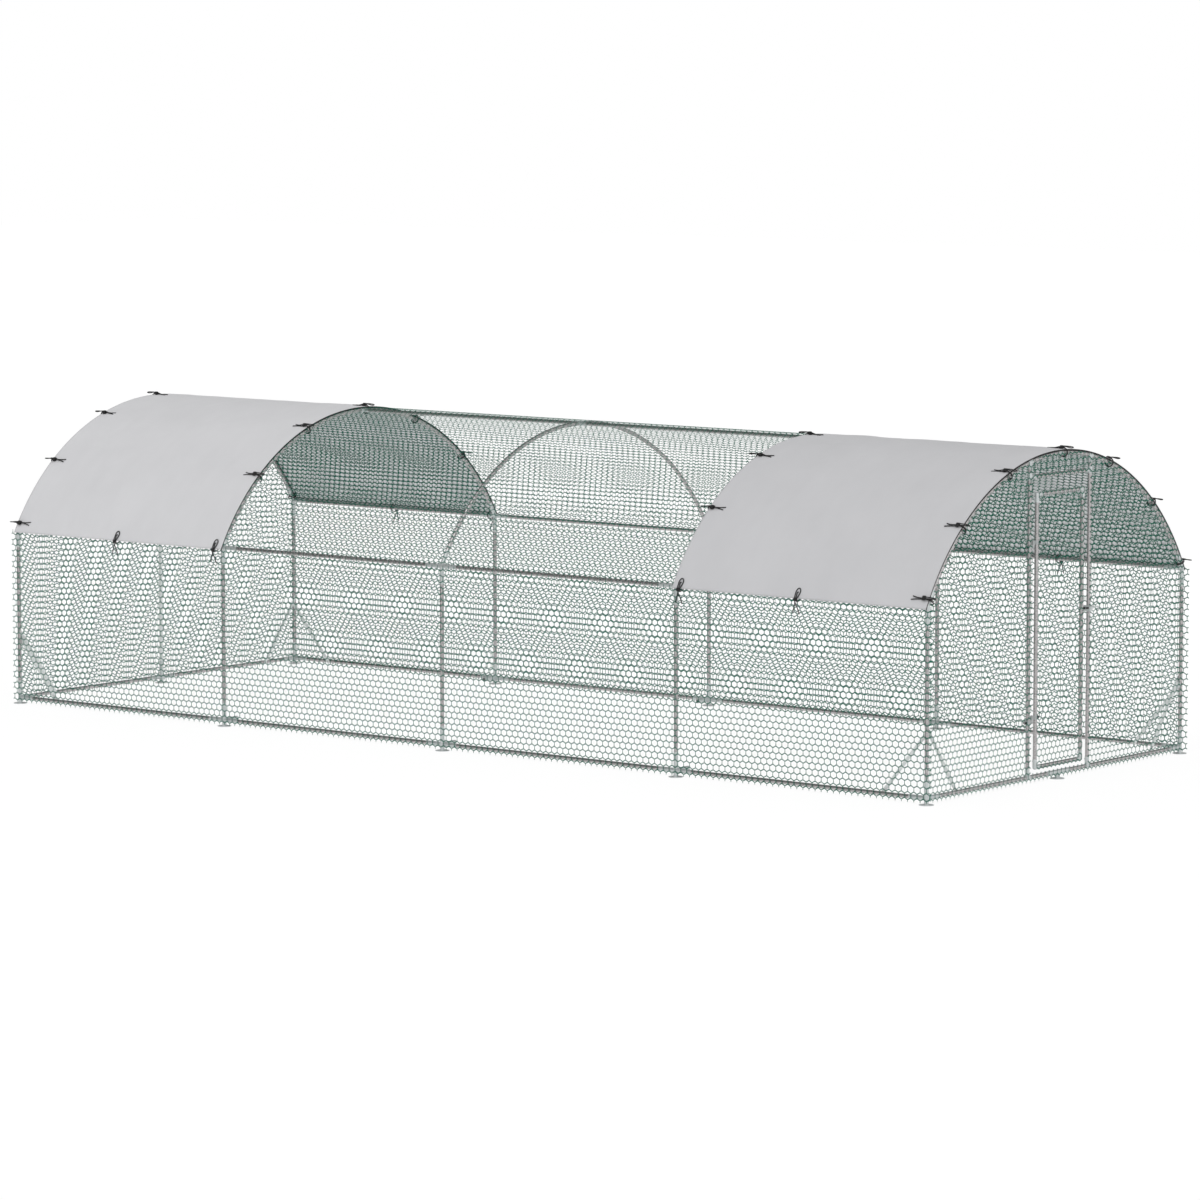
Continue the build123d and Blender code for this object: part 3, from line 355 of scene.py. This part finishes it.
# End netting: sheets cut to the arch, on the outer faces of the rear end and beside, above
# and below the doorway. The sheet beside the latch is cut out round the latch plate.
arch_steps, arch_lap = 12, 0.010  # straight cuts from ridge to eave, and the lap past the hoop's axis
arch_walls = []
for step in range(-arch_steps, arch_steps + 1):
    angle = eave_angle * step / arch_steps
    reach = hoop_radius + arch_lap + hoop_centre * math.cos(angle)
    arch_walls.append((math.sin(angle), math.cos(angle), reach))
jamb, lap, lintel, lintel_lap, sill_top = 0.330, 0.012, 1.877, 0.014, 0.064
sheet_top = 2.1  # before a sheet is cut to the arch
latch_side, latch_height, latch_half = 0.350, 1.020, 0.022
rear_lay = flat_on((-half_length - net_lift, 0, 0), (0, 1, 0), (-1, 0, 0))
front_lay = flat_on((half_length + net_lift, 0, 0), (0, 1, 0), (1, 0, 0))
end_sheets = (
    ("rear_netting", "rear_net", rear_lay, (-half_width, net_foot), (half_width, sheet_top)),
    ("front_netting_left", "front_net_left", front_lay, (-half_width, net_foot), (-jamb + lap, sheet_top)),
    ("front_netting_right", "front_net_right", front_lay, (jamb - lap, net_foot), (half_width, sheet_top)),
    (
        "transom_netting", "transom_net", front_lay,
        (-jamb + lap, lintel - lintel_lap), (jamb - lap, sheet_top),
    ),
    ("sill_netting", "sill_net", front_lay, (-jamb + lap, net_foot), (jamb - lap, sill_top)),
)


def clear_of_latch(lines):
    """The wires whose middles lie beside, above or below the latch plate."""
    across, height = (lines[:, :2] + lines[:, 2:]).T / 2
    return lines[(across > latch_side) | (np.abs(height - latch_height) > latch_half)]


for name, node, lay, low, high in end_sheets:
    lines = wires_in(low, high, arch_walls)
    if node == "front_net_right":
        lines = [clear_of_latch(group) for group in lines]
    net = woven(name, lines, lay, (end_wire, end_pair))
    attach(net, "frame")
    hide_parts(node)

# Door netting: a sheet laced to the outer face of the leaf, a little longer than its frame,
# so that its cut ends show under the bottom rail.
leaf_half, leaf_foot, leaf_top, leaf_tip = 0.250, 0.081, 1.782, 0.004
lines = wires_in((-leaf_half, leaf_foot), (leaf_half, leaf_top), tip=leaf_tip)
net = woven("door_netting", lines, front_lay, (end_wire, end_pair))
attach(net, "door")
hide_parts("door_net")

# Covers: coated woven cloth laid over the roof netting of the first and last bays, hemmed
# all round. It lies in shallow creases, flat at its hems. Inside each arched edge hangs a black
# strip of painted shadow where the shade under the edge falls, and the lining is painted light:
# paler than the face, standing in for the light that comes through the cloth.
cover_radius, cover_lap, cover_angle = 1.6270, 0.008, eave_angle + math.radians(0.9)
cover_thick, cover_grid, cover_dark, cover_light = 0.0009, (121, 201), 0.545, 0.640
crease_sizes = ((0.62, 0.0011), (0.37, 0.0008), (0.21, 0.0005), (0.13, 0.0003))  # lengths and depths
crease_ways = 3  # directions of each size
sway, sway_along, sway_round = 0.08, 2.1, 1.3  # how a crease wanders over the cloth
hollow_share = 0.4  # of a hollow's depth is left, because the netting holds the cloth up
hem_calm = 0.10  # from a hem to the full depth of the creases


def waves(x, s, seed):
    """Creases of a few lengths and directions, in metres out of the cloth."""
    chance = np.random.default_rng(seed)
    height = np.zeros_like(x)
    for length, depth in crease_sizes:
        for _ in range(crease_ways):
            way = chance.uniform(0, math.pi)
            phase = chance.uniform(0, 2 * math.pi)
            bend = sway * np.sin(sway_along * x + sway_round * s + phase)
            across = x * math.cos(way) + s * math.sin(way) + bend
            height += depth * np.sin(2 * math.pi * across / length + phase)
    return np.maximum(height, hollow_share * height)


def coated_cloth(name, dark, light):
    """A finish of woven cloth under a thin coat, clouded and creased, between two greys; painted shade in
    creases.
    """
    material, shade, surface = finish(name, Sheen_Weight=0.08, Sheen_Roughness=0.5)
    threads = [
        shade.node(
            "ShaderNodeTexWave", {"wave_type": "BANDS", "bands_direction": way},
            {"Vector": shade.place(), "Scale": 160.0, "Distortion": 0.3},
        )
        for way in ("X", "Z")
    ]
    weave = threads[0] * 0.5 + threads[1] * 0.5
    cloud = shade.noise(2.2, 5.0)
    crease_relief_and_shade = shade.noise(9.0, 6.0, (1.0, 0.35, 0.35))
    greys = [(grey, grey, grey + 0.015) for grey in (dark, light)]
    # Painted shade: the colour is darker where the crease relief is low, in its hollows.
    colour = shade.tone(cloud * 0.6 + crease_relief_and_shade * 0.4, *greys)
    relief = crease_relief_and_shade * 0.9 + weave * 0.1
    feed(shade, surface, relief, 0.0016, Base_Color=colour, Roughness=0.62 + cloud * 0.12)
    return material


# Painted light: the lining is paler than the cloth's face, standing in for the light that comes through it.
lining_painted_light = coated_cloth("lining_painted_light", 0.74, 0.83)
# Painted shadow: a black strip hung inside each arched edge of a cover, in place of the shade there.
painted_shadow_band, shade, surface = finish("painted_shadow_band")
grain = shade.noise(300.0, 3.0)
colour = shade.tone(grain, (0.008, 0.008, 0.008), (0.022, 0.022, 0.022))
feed(shade, surface, grain, 0.0003, Base_Color=colour, Roughness=0.75 + grain * 0.15)


def cloth(name, rows, columns, place, thick, *materials):
    """A sheet of quads whose points come from a function of (row share, column share)."""
    share = np.stack(np.meshgrid(np.linspace(0, 1, rows), np.linspace(0, 1, columns), indexing="ij"), -1)
    points = place(share[..., 0], share[..., 1]).reshape(-1, 3)
    spot = np.arange(rows * columns).reshape(rows, columns)
    quads = np.stack([spot[:-1, :-1], spot[1:, :-1], spot[1:, 1:], spot[:-1, 1:]], -1).reshape(-1, 4)
    mesh = bpy.data.meshes.new(name)
    mesh.from_pydata(points.tolist(), [], quads.tolist())
    mesh.polygons.foreach_set("use_smooth", np.ones(len(quads), bool))
    piece = bpy.data.objects.new(name, mesh)
    bpy.context.collection.objects.link(piece)
    for material in materials:
        mesh.materials.append(material)
    body = piece.modifiers.new("thickness", "SOLIDIFY")
    body.thickness = thick
    body.offset = 0.0
    body.material_offset = len(materials) - 1
    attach(piece, "frame")
    return piece


def on_roof(x, s, lift):
    """Points on the cover's arc, lifted outwards."""
    angle = s / cover_radius
    reach = cover_radius + lift
    return np.stack([x, reach * np.sin(angle), hoop_centre + reach * np.cos(angle)], -1)


arc = cover_angle * cover_radius
# The painted shadow strips: top under the cloth, drop towards the hoop, inset from the end, thickness,
# grid.
shadow_band_top, shadow_band_drop, shadow_band_inset, shadow_band_thick, shadow_band_grid = -0.0008, 0.0086, 0.001, 0.0008, (3, 161)
# Each cover's end, the start of its bay, the seed of its creases and its tone. The tone is painted
# light and shade: one cloth, painted lighter on the rear cover and darker on the front one.
cover_bays = (("rear", -half_length, 11, 1.03), ("front", half_length - bay, 23, 0.92))
for label, start, seed, tone in cover_bays:
    low, high = start - cover_lap, start + bay + cover_lap

    def spread(r, c, low=low, high=high, seed=seed):
        x, s = low + (high - low) * r, arc * (2 * c - 1)
        from_end, from_eave = np.minimum(x - low, high - x), arc - np.abs(s)
        calm = np.minimum(1, from_end / hem_calm) * np.minimum(1, from_eave / hem_calm)
        return on_roof(x, s, waves(x, s, seed) * calm)

    # Painted light and shade: the same cloth's greys scaled by the cover's tone.
    upper = coated_cloth(f"{label}_cover_cloth", cover_dark * tone, cover_light * tone)
    cover = cloth(f"{label}_cover_cloth", *cover_grid, spread, cover_thick, upper, lining_painted_light)
    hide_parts(f"{label}_cover")
    for name, x in (("rear", low + shadow_band_inset), ("front", high - shadow_band_inset)):
        def hang(r, c, x=x):
            return on_roof(np.full_like(r, x), arc * (2 * c - 1), shadow_band_top - shadow_band_drop * r)

        # A painted shadow strip inside this arched edge.
        shadow_band = cloth(f"{label}_cover_{name}_tape", *shadow_band_grid, hang, shadow_band_thick, painted_shadow_band)
        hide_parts(f"{label}_cover")
    high - low

# Ties: black braided cord. Each is led over the cover's edge, twice round the hoop, up through an
# eyelet and knotted on top, with its two ends left lying on the cloth. At the eaves it goes round
# the rail, and the ends hang.
mm = 0.001
cord_diameter, tie_lift, corner_inset = 0.0065, 0.026106, 0.050
hoop_tie_length, eave_tie_length = 0.537, 0.530
ridge_angle, tie_angle, corner_angle = math.radians(1.6), eave_angle / 3, eave_angle - math.radians(1.5)
hoop_knot, eave_knot = (22, -0.6, 7.2), (0.5, 43, -15)
# The points of each route are in millimetres, in the order that on_hoop and on_rail take them.
hoop_route = (
    (115, 11.5, 0), (95, 8, 0.4), (74, 6, 0), (54, 5, 0.8), (36, 4.5, 1.6), (14, 4, 3), (-9, 3, 3),
    (-24, 2, -12.5), (-24.5, 1, -31), (-12, 0, -46.5), (8, -1.5, -47), (23.5, -3.5, -36), (26, -5, -14),
    (25, -6, 8), (14, -5.5, 14), (-12, -4, 14.5), (-36, -2, 13.5), (-55, -2, 12.5), (-68, 0, 8.5),
    (-55, 2, 4.5), (-34, 3, 7), (-10, 4.2, 12), (12, 4.2, 12), (30, 3, 10.5), (48, 0, 7), (66, -3, 2),
    (87, -6, 0.4), (108, -12, 0),
)
second_turn = (
    (12, 6, 10), (-10, 8, 6), (-27, 11, -12), (-29, 12, -33), (-14, 11, -51), (9, 10, -52), (27, 9, -38),
    (30, 8, -14), (27, 6, 7), (14, 4, 11),
)
eave_route = (
    (24, 38, -98), (17, 38.5, -74), (10.5, 39.5, -50), (5.5, 40, -28), (4, 35.9, -8.1), (2.8, 27, 6.4),
    (1, 25, 22), (0, 17, 29.5), (-1, -3, 19.8), (-1.5, -14.5, 14), (-2, -20.5, 0), (-2, -15, -14.5),
    (-0.5, -1, -21), (0, 13, -26.5), (-0.5, 26, -30), (-3.5, 37, -28), (-5, 41.5, -15),
    (-8, 31.8, -1.3), (-14, 22.9, 13.3), (-17, 12.8, 30.6), (-11, 4.2, 45.3), (0, 1.1, 50.5),
    (11, 4.2, 45.3), (17, 12.8, 30.6), (15, 23.3, 13.5), (11.5, 35.6, 0.8), (5.5, 48.5, -16),
    (-3, 48.5, -36), (-12, 44.5, -58), (-20, 41, -80), (-26, 39, -104),
)
black_braid, shade, surface = finish("black_braid")
braid = shade.node(
    "ShaderNodeTexWave", {"wave_type": "BANDS", "bands_direction": "DIAGONAL"},
    {"Vector": shade.place(), "Scale": 260.0, "Distortion": 1.5, "Detail": 1.0},
)
fuzz = shade.noise(500.0, 2.0)
colour = shade.tone(braid * 0.7 + fuzz * 0.3, (0.006, 0.006, 0.006), (0.030, 0.030, 0.031))
feed(shade, surface, braid, 0.0006, Base_Color=colour, Roughness=0.70 + fuzz * 0.2)


def on_hoop(hoop, axes, points):
    """Places on a tie, in millimetres into the cover, along the hoop and out of the roof."""
    inwards, along, out = axes
    return [hoop + (inwards * u + along * t) * mm + out * (tie_lift + n * mm) for u, t, n in points]


def on_rail(rail, side, points):
    """Places on a tie, in millimetres along the rail, outwards and up."""
    return [rail + Vector((side * a, side * o, z)) * mm for a, o, z in points]


def cord_line(data, points):
    """Adds one smooth line to a curve."""
    line = data.splines.new("NURBS")
    line.points.add(len(points) - 1)
    for spot, point in zip(line.points, points):
        spot.co = (*point, 1.0)
    line.order_u = 3
    line.use_endpoint_u = True
    line.resolution_u = 5


def cord_curve(name):
    """A piece of cord with no line in it yet."""
    data = bpy.data.curves.new(name, "CURVE")
    data.dimensions = "3D"
    data.bevel_depth = cord_diameter / 2
    data.bevel_resolution = 3
    data.use_fill_caps = True
    data.materials.append(black_braid)
    piece = bpy.data.objects.new(name, data)
    bpy.context.collection.objects.link(piece)
    return piece


def turns_round(middle, along, first, second):
    """The turns of a knot round an axis."""
    wide, tall, length, turns, steps = 0.0130, 0.0088, 0.0200, 3, 8
    points = []
    for step in range(steps * turns + 1):
        angle = 2 * math.pi * step / steps
        around = first * (wide * math.cos(angle)) + second * (tall * math.sin(angle))
        points.append(middle + around + along * ((step / (steps * turns) - 0.5) * length))
    return points


up = Vector((0, 0, 1))
for label, start, *_ in cover_bays:
    node = f"{label}_cover_ties"
    knots = cord_curve(f"{label}_cover_knots")
    made = []
    eave_places = [start + bay / 2]
    for x, inside, ridge_side in ((start, 1, -1), (start + bay, -1, 1)):
        stations = [tie_angle, 2 * tie_angle]
        if abs(x) > half_length - bay / 2:
            stations.append(corner_angle)
        else:
            eave_places.append(x + inside * corner_inset)
        for angle in [ridge_side * ridge_angle, *stations, *(-a for a in stations)]:
            out = Vector((0, math.sin(angle), math.cos(angle)))
            hoop = Vector((x, 0, hoop_centre)) + out * hoop_radius
            inwards = Vector((inside, 0, 0))
            axes = (inwards, out.cross(inwards), out)
            made.append((on_hoop(hoop, axes, hoop_route), hoop_tie_length, "loose"))
            cord_line(knots.data, on_hoop(hoop, axes, second_turn))
            knot_at = on_hoop(hoop, axes, [hoop_knot])[0]
            cord_line(knots.data, turns_round(knot_at, *axes))
    for x, side in ((x, side) for x in eave_places for side in (-1, 1)):
        rail = Vector((x, side * half_width, eave_height))
        made.append((on_rail(rail, side, eave_route), eave_tie_length, "hanging"))
        knot_at = on_rail(rail, side, [eave_knot])[0]
        cord_line(knots.data, turns_round(knot_at, up, Vector((1, 0, 0)), Vector((0, 1, 0))))
    for number, (route, length, lay) in enumerate(made):
        tie = cord_curve(f"{label}_cover_tie_{number + 1}")
        cord_line(tie.data, route)
        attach(tie, "frame")
        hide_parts(node)
    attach(knots, "frame")
    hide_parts(node)

# Hinges and latch: folded and welded steel clamps, plated, each drawn tight on its tube by
# a blackened bolt. The leaf hangs on two pins, and a round bolt slides across its stile.
hinge_zinc, shade, surface = finish("hinge_zinc", Metallic=0.7)
cloud = shade.noise(60.0, 4.0)
rubbed = shade.ramp(shade.noise(150.0, 4.0), (0.50, 0.0), (0.70, 1.0))
plain = shade.tone(cloud, (0.30, 0.32, 0.32), (0.46, 0.48, 0.48))
colour = shade.tone(rubbed * 0.4, plain, (0.75, 0.76, 0.76))
feed(shade, surface, shade.noise(380.0, 2.0), 0.0003, Base_Color=colour, Roughness=0.45 - rubbed * 0.18)
wear(hinge_zinc, "hinge_brackets", "hinge_eyes")
wear(bright_zinc, "latch_barrel", "latch_bolt")
blackened, shade, surface = finish("blackened_bolt", Metallic=0.6)
cloud = shade.noise(210.0, 3.0)
colour = shade.tone(cloud, (0.006, 0.006, 0.006), (0.034, 0.033, 0.031))
feed(shade, surface, Base_Color=colour, Roughness=0.35 + cloud * 0.25)
wear(blackened, "frame_clamp_bolts", "door_clamp_bolts")
black_cap, shade, surface = finish("black_cap", Specular_IOR_Level=0.4)
grain = shade.noise(600.0, 2.0)
colour = shade.tone(grain, (0.010, 0.010, 0.010), (0.026, 0.026, 0.026))
feed(shade, surface, grain, 0.0002, Base_Color=colour, Roughness=0.45 + grain * 0.2)
wear(black_cap, "latch_tip")

# Stage: a plain white floor that keeps a faint shadow, a white surround and one soft sun. The room's
# lit side is low, behind the camera and to its right. Metal mirrors the floor only near the run, and
# the room beyond it.
floor_half, floor_gap = 60.0, 0.0005
corners = [(x * floor_half, y * floor_half, 0) for x, y in ((-1, -1), (1, -1), (1, 1), (-1, 1))]
floor_mesh = bpy.data.meshes.new("floor")
floor_mesh.from_pydata(corners, [], [(0, 1, 2, 3)])
floor = bpy.data.objects.new("floor", floor_mesh)
floor.location.z = -floor_gap
bpy.context.collection.objects.link(floor)
window_turn, window_drop, dim_wall = math.radians(40), 0.35, 0.16
lit_azimuth = azimuth + window_turn
lit_way = Vector((math.sin(lit_azimuth), -math.cos(lit_azimuth), -window_drop)).normalized()
near_x, near_y, near_fade = 5.6, 3.2, 0.1  # the floor that metal mirrors, and its soft edge
seen_white, bounced_white, glow_share = 1.03, 0.95, 0.90  # the rest is paint, which takes the shadow
room_low, room_high, room_light = -0.45, 0.25, 0.72  # the lit side's span, and the light on the run


def rays(shade, *names):
    """1 for light that reaches the eye by one of these ways."""
    path = [shade.node("ShaderNodeLightPath", out=name) for name in names]
    return shade.node("ShaderNodeClamp", None, {"Value": sum(path[1:], path[0])})


def lit_side(shade, spot, dark, bright):
    """From the dim wall to white, between two places along the line to the room's lit side."""
    along = shade.node("ShaderNodeVectorMath", {"operation": "DOT_PRODUCT"}, {0: spot, 1: lit_way}, "Value")
    span = {"Value": along, "From Min": dark, "From Max": bright, "To Min": dim_wall, "To Max": 1.0}
    return shade.node("ShaderNodeMapRange", {"interpolation_type": "SMOOTHSTEP"}, span)


floor_paint, shade, surface = finish("floor_paint", Base_Color=(0.86, 0.86, 0.86, 1.0), Roughness=0.9)
mirrored = rays(shade, "Is Glossy Ray")
clear = rays(shade, "Is Camera Ray", "Is Transmission Ray")
glow = seen_white * clear + mirrored + (1 - clear) * (1 - mirrored) * bounced_white
white = shade.node("ShaderNodeEmission", None, {"Color": (1.0, 1.0, 1.0, 1.0), "Strength": glow})
plain = Shade(shade.tree, surface.outputs[0])
mixed = shade.node("ShaderNodeMixShader", None, {0: glow_share, 1: plain, 2: white})
spot = shade.place((1 / near_x, 1 / near_y, 0))
away = shade.node("ShaderNodeVectorMath", {"operation": "LENGTH"}, {0: spot}, "Value")
edge = {"Value": away, "From Min": 1 - near_fade, "From Max": 1 + near_fade}
beyond = shade.node("ShaderNodeMapRange", None, edge)
open_room = shade.node("ShaderNodeBsdfTransparent")
mixed = shade.node("ShaderNodeMixShader", None, {0: mirrored * beyond, 1: mixed, 2: open_room})
shade.tree.links.new(mixed.socket, shade.tree.nodes["Material Output"].inputs["Surface"])
floor_mesh.materials.append(floor_paint)

world = bpy.data.worlds.new("surround")
world.use_nodes = True
bpy.context.scene.world = world
shade = Shade(world.node_tree)
mirrored = rays(shade, "Is Glossy Ray")
clear = rays(shade, "Is Camera Ray", "Is Transmission Ray")
way = shade.node("ShaderNodeTexCoord", out="Generated")
glint = mirrored * lit_side(shade, way, room_low, room_high)
light = clear + glint + (1 - clear) * (1 - mirrored) * room_light
world.node_tree.links.new(light.socket, world.node_tree.nodes["Background"].inputs["Strength"])
world.node_tree.nodes["Background"].inputs["Color"].default_value = (1.0, 1.0, 1.0, 1.0)
sun = bpy.data.objects.new("sun", bpy.data.lights.new("sun", "SUN"))
sun.data.energy = 0.9
sun.data.angle = math.radians(50)
sun.rotation_euler = (math.radians(32), math.radians(14), 0)
bpy.context.collection.objects.link(sun)

bpy.context.scene.view_settings.view_transform = "Standard"
